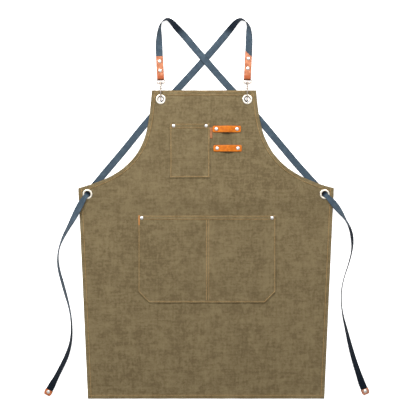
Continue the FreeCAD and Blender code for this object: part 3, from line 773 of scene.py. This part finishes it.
stitch_lift = 0.0002
stitch = stitch_shape("stitch", 0.0030, 0.00052)
thread_run = repeat_group("thread_run", ochre_thread, True)
panel_rows_of_stitches = []
for name, line in outline.items():
    inset = 0.0035 if name == "top" else 0.0086
    panel_rows_of_stitches.append(row_inside(line, inset, panel_top, hem_raise + stitch_lift, 0.009))
    if name == "top":
        panel_rows_of_stitches.append(row_inside(line, 0.0122, panel_top, hem_raise + stitch_lift, 0.013))
stitch_step = 0.0036
hem_stitches = repeat("hem_stitches", line_carrier("hem_lines", panel_rows_of_stitches), thread_run, stitch,
                      stitch_step)
stands_for(hem_stitches)
waist = pockets["waist_pocket"]
bar_x, bar_step = waist["low"][0] + 0.0024, 0.0009
bar_lines = []
for offset in (-0.0008, 0.0, 0.0008):
    ys = [waist["high"][1] - 0.0235 + bar_step * i for i in range(26)]
    bar_lines.append([Vector((bar_x + offset, y, waist["level"](bar_x, y) + 0.0010)) for y in ys])
corner_bar = repeat("waist_pocket_corner_bar", line_carrier("corner_bar_lines", bar_lines),
                    repeat_group("bar_run", orange_thread, True), stitch, 0.0018)
stands_for(corner_bar)
for name, (_, seams, _, _, rows) in pocket_plans.items():
    pocket = pockets[name]
    low, high, level = pocket["low"], pocket["high"], pocket["level"]
    lines = [row_inside(pocket["mouth"], inset, level, 0.0006 + stitch_lift, 0.003) for inset in rows]
    lines.append(row_inside(pocket["sewn"], 0.0024, level, 0.0005 + stitch_lift, 0.002))
    for x in [seam + offset for seam in seams for offset in (-0.003, 0.003)]:
        ys = [low[1] + 0.004 + (high[1] - low[1] - 0.014) * i / 60 for i in range(61)]
        lines.append([Vector((x, y, level(x, y) + stitch_lift)) for y in ys])
    stitches = repeat(name + "_stitches", line_carrier(name + "_lines", lines), thread_run, stitch,
                      stitch_step)
    stands_for(stitches)
    trims = pocket["trims"] + [stitches]
    if name == "waist_pocket":
        trims.append(corner_bar)
bpy.data.objects.remove(stitch)

# ---- Eyelets ----
# Nickel-plated brass: a barrel with a rolled flange comes through from the front, and a washer backs it.
nickel_tones = {"eyelet": (0.90, 0.84, 0.72), "rivet": (0.92, 0.90, 0.86), "hook": (0.60, 0.52, 0.45)}


def nickel_material(name, colour, low, high):
    """Bright plate with faint smudges and fine scuffs in its gloss, and painted shade and reflection
    darkening it where it turns away from view.
    """
    material, tree, shader = new_material(name, 0.2, Metallic=1.0)
    place = coordinates(tree)
    smudge = noise_node(tree, place, 180.0, 5.0)
    scuff = noise_node(tree, place, 1500.0, 3.0)
    both = scaled_sum(tree, smudge, scuff, 0.4, 0.6)
    gloss = new_node(tree, "ShaderNodeMapRange", Value=both, To_Min=low, To_Max=high)
    link(tree, gloss.outputs["Result"], shader.inputs["Roughness"])
    dull = tuple(value * 0.82 for value in colour)
    plate = mix_colours(tree, band_mask(tree, smudge, 0.45, 0.75), colour, dull)
    # Painted shade and dark reflection: the plate goes near-black brown where its surface turns away from
    # view.
    steep = new_node(tree, "ShaderNodeLayerWeight", Blend=0.35)
    painted_rim_shade = band_mask(tree, steep.outputs["Facing"], 0.12, 0.50)
    link(tree, mix_colours(tree, painted_rim_shade, plate, (0.110, 0.068, 0.045)), shader.inputs["Base Color"])
    bump(tree, shader, scuff, 0.00003, 0.3)
    return material


nickel_gloss = {"eyelet": (0.24, 0.44), "rivet": (0.24, 0.44), "hook": (0.12, 0.28)}
nickel = {name: nickel_material(name + "_nickel", colour, *nickel_gloss[name])
          for name, colour in nickel_tones.items()}


def spun(profile, turn, axis, centre):
    """A profile's radius, height points at one turn about an axis through centre."""
    spots = []
    for radius, height in profile:
        a, b = radius * math.cos(turn), radius * math.sin(turn)
        spots.append(Vector({"Z": (a, b, height), "Y": (b, height, a)}[axis]) + Vector(centre))
    return spots


def revolve(name, profile, centre):
    """A closed ring with this profile, on the vertical through centre."""
    sides = 48
    points = []
    for i in range(sides):
        points += spun(profile, 2 * math.pi * i / sides, "Z", centre)
    return mesh_piece(name, points, ring_faces(sides, len(profile), True, flip=True))


def turned(name, profile, centre, axis="Z", sides=32):
    """A solid of revolution whose profile starts and ends on the axis."""
    points, faces = [], []
    inner = profile[1:-1]
    count = len(inner)
    for i in range(sides):
        points += spun(inner, 2 * math.pi * i / sides, axis, centre)
    start, end = len(points), len(points) + 1
    points += spun([(0, profile[0][1]), (0, profile[-1][1])], 0, axis, centre)
    for i in range(sides):
        k = (i + 1) % sides
        faces.append((start, k * count, i * count))
        faces.append((end, i * count + count - 1, k * count + count - 1))
        for j in range(count - 1):
            faces.append((i * count + j, k * count + j, k * count + j + 1, i * count + j + 1))
    return mesh_piece(name, points, faces)


barrel_wall = 0.0008
# Painted shade: the barrel's inner wall gets a near-black second material for the shade inside the hole.
barrel_shade_paint = two_tone("painted_barrel_shade", 0.45, 700.0, 4.0, (0.060, 0.034, 0.020), (0.170, 0.105, 0.062),
                   Metallic=1.0)
for place, centre in eyelets.items():
    depth = under(centre.y) - 0.0010
    seat = under(centre.y) + cloth + hem_raise
    profile = [(0.0066, depth), (0.0068, seat - 0.0008), (0.0078, seat + 0.0002),
               (0.0087, seat + 0.0006), (0.0100, seat + 0.0007), (0.0112, seat + 0.0007),
               (0.0122, seat + 0.0005), (0.0128, seat + 0.0003), (eyelet_flange, seat + 0.0001),
               (0.0127, seat - 0.0001), (0.0100, seat - 0.0001), (eyelet_hole + barrel_wall, seat - 0.0002),
               (eyelet_hole + barrel_wall, depth)]
    eyelet = revolve(place + "_eyelet_ring", profile[::-1], (centre.x, centre.y, 0.0))
    eyelet.data.materials.append(nickel["eyelet"])
    eyelet.data.materials.append(barrel_shade_paint)
    for face in eyelet.data.polygons:
        if (face.center.xy - centre.xy).length < 0.0084:
            face.material_index = 1
    stands_for(eyelet, place + "_eyelet")

# ---- Leather shoulder tabs, tool loops and strap ends ----
# Vegetable-tanned leather, 2 mm. Each tab is one strip folded round the hook's loop with the webbing
# between its two layers. The tool loops are short bands that arch off the bib. The strap ends are folded.


def leather_group():
    """Grain height and tone of smooth leather."""
    group, place, leave = shader_group("leather_grain", ("Grain", "Tone"))
    pores = new_node(group, "ShaderNodeTexVoronoi", Vector=place, Scale=1300.0)
    fine = noise_node(group, place, 700.0, 4.0)
    link(group, scaled_sum(group, fine, pores.outputs["Distance"], 0.6), leave.inputs["Grain"])
    link(group, noise_node(group, place, 120.0, 5.0, 0.4), leave.inputs["Tone"])
    return group


leather_grain = leather_group()


def leather_material(name, dark, light, edge_tone, half_width):
    """Leather whose cut edges are darker; the band's UV gives the distance from its middle."""
    material, tree, shader = new_material(name, 0.5, Specular_IOR_Level=0.22)
    shared = group_outputs(tree, leather_grain)
    body = mix_colours(tree, band_mask(tree, shared["Tone"], 0.35, 0.68), dark, light)
    across = math_node(tree, "ABSOLUTE", axis_value(tree, coordinates(tree, "UV"), "X"))
    edge = band_mask(tree, across, half_width - 0.0011, half_width - 0.0001)
    link(tree, mix_colours(tree, edge, body, edge_tone), shader.inputs["Base Color"])
    bump(tree, shader, shared["Grain"], 0.00012, 0.45)
    return material, tree, shader


leather = 0.0020
tab_half = 0.0093
bar_from_eyelet = 0.0536
hook_axis_z = 0.0084
bar_wire = 0.0011
fold_slack = 0.0008
fold_run = 0.010
layer_gap = webbing_thickness / 2 + 0.00015
tab_leather, tab_tree, tab_shader = leather_material(
    "salmon_tan_leather", (0.400, 0.130, 0.058), (0.560, 0.215, 0.110), (0.220, 0.070, 0.028), tab_half)
tab_colour = tab_shader.inputs["Base Color"].links[0].from_socket
bar_y = eyelets["left_top"].y + bar_from_eyelet
# Painted shade: the tab darkens towards its fold round the hook's loop, and is near black along the fold
# itself.
down = math_node(tab_tree, "MULTIPLY", axis_value(tab_tree, coordinates(tab_tree), "Y"), -1.0)
fold_painted_shade = mix_colours(tab_tree, band_mask(tab_tree, down, -bar_y - 0.013, -bar_y - 0.006),
                        tab_colour, (0.360, 0.078, 0.018))
link(tab_tree, mix_colours(tab_tree, band_mask(tab_tree, down, -bar_y - 0.003, -bar_y + 0.002),
                           fold_painted_shade, (0.130, 0.035, 0.010)), tab_shader.inputs["Base Color"])
tabs = {"left": {"long": 0.0600, "short": 0.0600, "rivets": (0.0220, 0.0466), "lean": 3.0},
        "right": {"long": 0.0740, "short": 0.0579, "rivets": (0.0280, 0.0540), "lean": -2.9}}


def folded_strip(name, start, along, across, path, widths, side=1.0):
    """A leather band along a path of run, height points from start; side -1 turns its faces over."""
    line = [start + along * run + Vector((0, 0, height)) for run, height in path]
    stations = []
    for i, (place, width) in enumerate(zip(line, widths)):
        stations.append((place, across, heading(line, i).cross(across * side).normalized(), width, 0.0))
    return band(name, stations, leather)


def tab_path(length):
    """The strip's middle in the tab's own Y-Z plane, from the back layer round the bar to the front one."""
    flat = layer_gap + leather / 2
    bend = bar_wire + fold_slack + leather / 2
    steps = 22
    back = []
    for i in range(steps):
        y = length - (length - 0.001) * i / steps
        back.append((y, -(flat + (bend - flat) * (1 - smooth(y, 0.0, fold_run)))))
    turn = [(-bend * math.sin(math.pi * i / 12), -bend * math.cos(math.pi * i / 12)) for i in range(13)]
    return back + turn + [(y, -z) for y, z in reversed(back)]


tab_rivets = {}
for side, tab in tabs.items():
    turn = math.radians(tab["lean"])
    up = Vector((-math.sin(turn), math.cos(turn), 0.0))
    right = Vector((math.cos(turn), math.sin(turn), 0.0))
    bar = Vector((eyelets[side + "_top"].x, bar_y, hook_axis_z))
    length = (tab["long"] + tab["short"]) / 2
    path = tab_path(length)
    strip = folded_strip(side + "_shoulder_tab", bar, up, right, path, [tab_half] * len(path), -1.0)
    slant = (tab["short"] - tab["long"]) / (2 * tab_half)
    for vertex in strip.data.vertices:
        offset = vertex.co - bar
        reach = offset.dot(up)
        vertex.co += up * (slant * offset.dot(right) * smooth(reach, 0.45 * length, length))
    strip.data.materials.append(tab_leather)
    stands_for(strip, side + "_leather_tab")
    tab_rivets[side] = [bar + up * run + Vector((0, 0, layer_gap + leather)) for run in tab["rivets"]]

loop_leather = leather_material("orange_leather", (0.460, 0.110, 0.005), (0.600, 0.165, 0.007),
                                (0.270, 0.060, 0.008), 0.00895)[0]
loop_arch, loop_rise, loop_corner = 0.023, 0.0054, 0.0042
loop_rivet_half = 0.0274
loop_rivets = []
for name in ("upper_tool_loop", "lower_tool_loop"):
    low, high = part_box(name)
    middle = Vector(((low[0] + high[0]) / 2, (low[1] + high[1]) / 2))
    half_length, half_width = (high[0] - low[0]) / 2, (high[1] - low[1]) / 2
    stations = []
    steps = 64
    for i in range(steps + 1):
        x = -half_length + 2 * half_length * (0.5 - 0.5 * math.cos(math.pi * i / steps))
        bell = 0.5 + 0.5 * math.cos(math.pi * min(abs(x) / loop_arch, 1.0))
        slope = -loop_rise * 0.5 * math.pi / loop_arch * math.sin(math.pi * x / loop_arch)
        slope = slope if abs(x) < loop_arch else 0.0
        into = max(abs(x) - (half_length - loop_corner), 0.0)
        width = half_width - loop_corner + math.sqrt(max(loop_corner ** 2 - into ** 2, 0.0))
        ground = panel_top(middle.x + x, middle.y) + 0.0001
        centre = Vector((middle.x + x, middle.y, ground + leather / 2 + loop_rise * bell))
        stations.append((centre, Vector((0, 1, 0)), Vector((-slope, 0, 1)).normalized(), width, 0.0))
    strip = band(name + "_leather", stations, leather)
    strip.data.materials.append(loop_leather)
    stands_for(strip, name)
    for side in (-1, 1):
        x = middle.x + side * loop_rivet_half
        loop_rivets.append(Vector((x, middle.y, panel_top(x, middle.y) + leather + 0.0003)))

side_tab_leather = leather_material("plain_side_tab", (0.260, 0.100, 0.040), (0.360, 0.150, 0.065),
                                    (0.120, 0.045, 0.020), 0.0150)[0]
low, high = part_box("chest_pocket_side_tab")
middle_y, tab_corner = (low[1] + high[1]) / 2, 0.0012
stations = []
for i in range(17):
    x = low[0] - 0.0015 + (high[0] - low[0] + 0.0015) * i / 16
    z = panel_top(x, high[1]) + 0.0011
    into = max(x - (high[0] - tab_corner), 0.0)
    width = (high[1] - low[1]) / 2 - tab_corner + math.sqrt(max(tab_corner ** 2 - into ** 2, 0.0))
    stations.append((Vector((x, middle_y, z)), Vector((0, 1, 0)), Vector((0, 0, 1)), width, 0.0))
side_tab = band("pocket_side_tab", stations, 0.0016)
side_tab.data.materials.append(side_tab_leather)
stands_for(side_tab, "chest_pocket_side_tab")

tip_half, tip_reach, tip_overlap = 0.0103, 0.0036, 0.0115
tip_leathers = {"left": leather_material("left_tip_leather", (0.330, 0.125, 0.068), (0.520, 0.250, 0.160),
                                         (0.200, 0.065, 0.030), tip_half)[0],
                "right": leather_material("right_tip_leather", (0.330, 0.085, 0.025), (0.520, 0.165, 0.060),
                                          (0.090, 0.038, 0.025), tip_half)[0]}
tips = {}
tip_rivets = {}
for side in ("left", "right"):
    end = route_points[side][-1]
    along = (end - route_points[side][-2]).normalized()
    across = Vector((0, 0, 1)).cross(along)
    bend = layer_gap + leather / 2
    path = [(-tip_overlap + (tip_overlap + 0.0004) * i / 12, -bend) for i in range(12)]
    turns = [math.pi * i / 10 for i in range(11)]
    path += [(0.0004 + (tip_reach - leather / 2) * math.sin(turn), -bend * math.cos(turn)) for turn in turns]
    path += [(x, -z) for x, z in reversed(path[:12])]
    widths = [tip_half - 0.0022 * smooth(x, -0.003, tip_reach) for x, _ in path]
    tips[side] = folded_strip(side + "_strap_end", end, along, across, path, widths)
    tips[side].data.materials.append(tip_leathers[side])
    stands_for(tips[side], side + "_strap_tip")
    tip_rivets[side] = [end - along * (0.5 * tip_overlap) + Vector((0, 0, layer_gap + leather))]

# ---- Rivets ----
# Nickel double-cap rivets: a domed cap on the front, a post through every layer and a flat disc behind.
cap_radius, cap_height = 0.0047, 0.0017
cap_profile = [(0.0, cap_height), (0.0016, 0.00162), (0.0030, 0.00130), (0.0040, 0.00082),
               (0.0045, 0.00038), (cap_radius, 0.00008), (0.0044, -0.0002), (0.0, -0.0002)]
cap_shape = turned("rivet_cap", cap_profile[::-1], (0, 0, 0), sides=28)
cap_shape.hide_render = True
cap_run = repeat_group("rivet_run", nickel["rivet"], False)


def rivet_caps(name, places, node):
    caps = repeat(name, line_carrier(name + "_places", [[place] for place in places]), cap_run, cap_shape)
    stands_for(caps, node)
    return caps


for side, places in tab_rivets.items():
    rivet_caps(side + "_tab_caps", places, side + "_tab_rivet_caps")
rivet_caps("tool_loop_caps", loop_rivets, "tool_loop_rivet_caps")
for name, pocket in pockets.items():
    low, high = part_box(name + "_rivet_caps")
    y = (low[1] + high[1]) / 2
    places = [Vector((x, y, pocket["level"](x, y) + 0.0012)) for x in (low[0] + 0.0046, high[0] - 0.0046)]
    rivet_caps(name + "_caps", places, name + "_rivet_caps")
for side, line in strap_lines.items():
    cap = rivet_caps(side + "_tip_cap", tip_rivets[side], side + "_tip_rivet_caps")
bpy.data.objects.remove(cap_shape)

# ---- Snap hooks ----
# Nickel-plated zinc. A wire body swivels on a stem in the base loop; its back leg lies under the bib and
# its nose comes up through the eyelet, where the sprung gate closes on it.
leg_offset, bend_y, leg_length = 0.0061, 0.0020, 0.0260
pivot_y = bend_y + leg_length
hook_wire = 0.0017
block_y, block_height = pivot_y + leg_offset + 0.0063, 0.0044


def tube(name, path, normal, closed=False):
    """A round bar along a flat path; each step is its point, its radius along normal and in the plane."""
    sides = 18
    points = []
    count = len(path)
    for i, (place, out, inside) in enumerate(path):
        before = path[(i - 1) % count if closed else max(i - 1, 0)][0]
        after = path[(i + 1) % count if closed else min(i + 1, count - 1)][0]
        side = (after - before).normalized().cross(normal).normalized()
        for j in range(sides):
            turn = 2 * math.pi * j / sides
            points.append(place + normal * (out * math.cos(turn)) + side * (inside * math.sin(turn)))
    faces = ring_faces(count, sides, closed, flip=True)
    if not closed:
        faces.append(tuple(range(sides)))
        faces.append(tuple(reversed(range((count - 1) * sides, count * sides))))
    return mesh_piece(name, points, faces)


def joined(name, pieces):
    """One mesh of several pieces' meshes."""
    points, faces = [], []
    for piece in pieces:
        start = len(points)
        points += [vertex.co.copy() for vertex in piece.data.vertices]
        faces += [tuple(start + i for i in face.vertices) for face in piece.data.polygons]
        bpy.data.objects.remove(piece)
    return mesh_piece(name, points, faces)


for side in ("left", "right"):
    eyelet = eyelets[side + "_top"]
    origin = Vector((eyelet.x, eyelet.y, hook_axis_z))

    def at(angle, y, offset=leg_offset, origin=origin):
        turn = math.radians(angle)
        return origin + Vector((0, y + offset * math.cos(turn), offset * math.sin(turn)))

    path = []
    for i in range(31):
        angle = 118 + (270 - 118) * i / 30
        swell = 0.0010 * math.exp(-((angle - 128) / 13.0) ** 2)
        tip = 0.35 + 0.65 * smooth(angle, 116, 125)
        path.append((at(angle, bend_y), (hook_wire + swell) * tip, (hook_wire + swell) * tip))
    for i in range(1, 10):
        path.append((origin + Vector((0, bend_y + leg_length * i / 10, -leg_offset)), hook_wire, hook_wire))
    for i in range(15):
        path.append((at(270 + 90 * i / 14, pivot_y), hook_wire + 0.0002 * i / 14, hook_wire))
    for i in range(1, 12):
        share = smooth(i / 11, 0.2, 0.7)
        path.append((at(90 * i / 11, pivot_y), hook_wire - 0.0009 * share, hook_wire + 0.0001 * share))
    wire = tube(side + "_wire", path, Vector((1, 0, 0)))
    low_y = eyelet.y + pivot_y + leg_offset - 0.0010
    block_low = eyelet.y + block_y
    block_high = block_low + block_height
    collar = [(0.0, low_y), (0.0016, low_y), (0.0026, low_y + 0.0009), (0.0030, low_y + 0.0021),
              (0.0026, low_y + 0.0033), (0.0019, low_y + 0.0040), (0.0026, low_y + 0.0046),
              (0.0031, low_y + 0.0056), (0.0030, block_low - 0.0004), (0.00165, block_low - 0.0003),
              (0.00165, block_high + 0.0003), (0.0026, block_high + 0.0003), (0.0028, block_high + 0.0009),
              (0.0020, block_high + 0.0017), (0.0, block_high + 0.0018)]
    stem = turned(side + "_stem", collar, (eyelet.x, 0.0, hook_axis_z), "Y")
    body = joined(side + "_snap_hook", [wire, stem])
    body.data.materials.append(nickel["hook"])
    stands_for(body, side + "_hook_body", side + "_hook")

    loop_half, bar_mid = 0.0107, bar_y - eyelet.y
    low_mid = block_y + block_height / 2
    corners = [(-loop_half, low_mid), (loop_half, low_mid), (loop_half, bar_mid), (-loop_half, bar_mid)]
    ring = []
    for i in range(96):
        share = i / 96 * 4
        number, part = int(share), share % 1.0
        a, b = corners[number], corners[(number + 1) % 4]
        x, y = a[0] + (b[0] - a[0]) * part, a[1] + (b[1] - a[1]) * part
        near = min(part, 1 - part) * math.hypot(b[0] - a[0], b[1] - a[1])
        pull = 0.0022 * (1 - smooth(near, 0.0, 0.0032))
        inward = Vector((-x, (low_mid + bar_mid) / 2 - y)).normalized() * pull
        stout = 1 - smooth(y, low_mid + 0.0010, low_mid + 0.0046)
        boss = 0.0004 * math.exp(-(x / 0.0034) ** 2) * stout
        ring.append((origin + Vector((x + inward.x, y + inward.y, 0.0)),
                     bar_wire + 0.0010 * stout + boss, bar_wire + 0.0009 * stout + boss))
    loop = tube(side + "_swivel_loop", ring, Vector((0, 0, 1)), closed=True)
    loop.data.materials.append(nickel["hook"])
    stands_for(loop, side + "_hook_base_loop")

# ---- Carried-over metal pieces ----
# Washers, posts, the gates, their pins and springs keep their own shape and get the plated finish.
for name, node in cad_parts.items():
    if "eyelet_washer" in name:
        finish = nickel["eyelet"]
    elif name.endswith("_posts"):
        finish = nickel["rivet"]
    elif "gate" in name:
        finish = nickel["hook"]
    else:
        continue
    node.data.materials.clear()
    node.data.materials.append(finish)
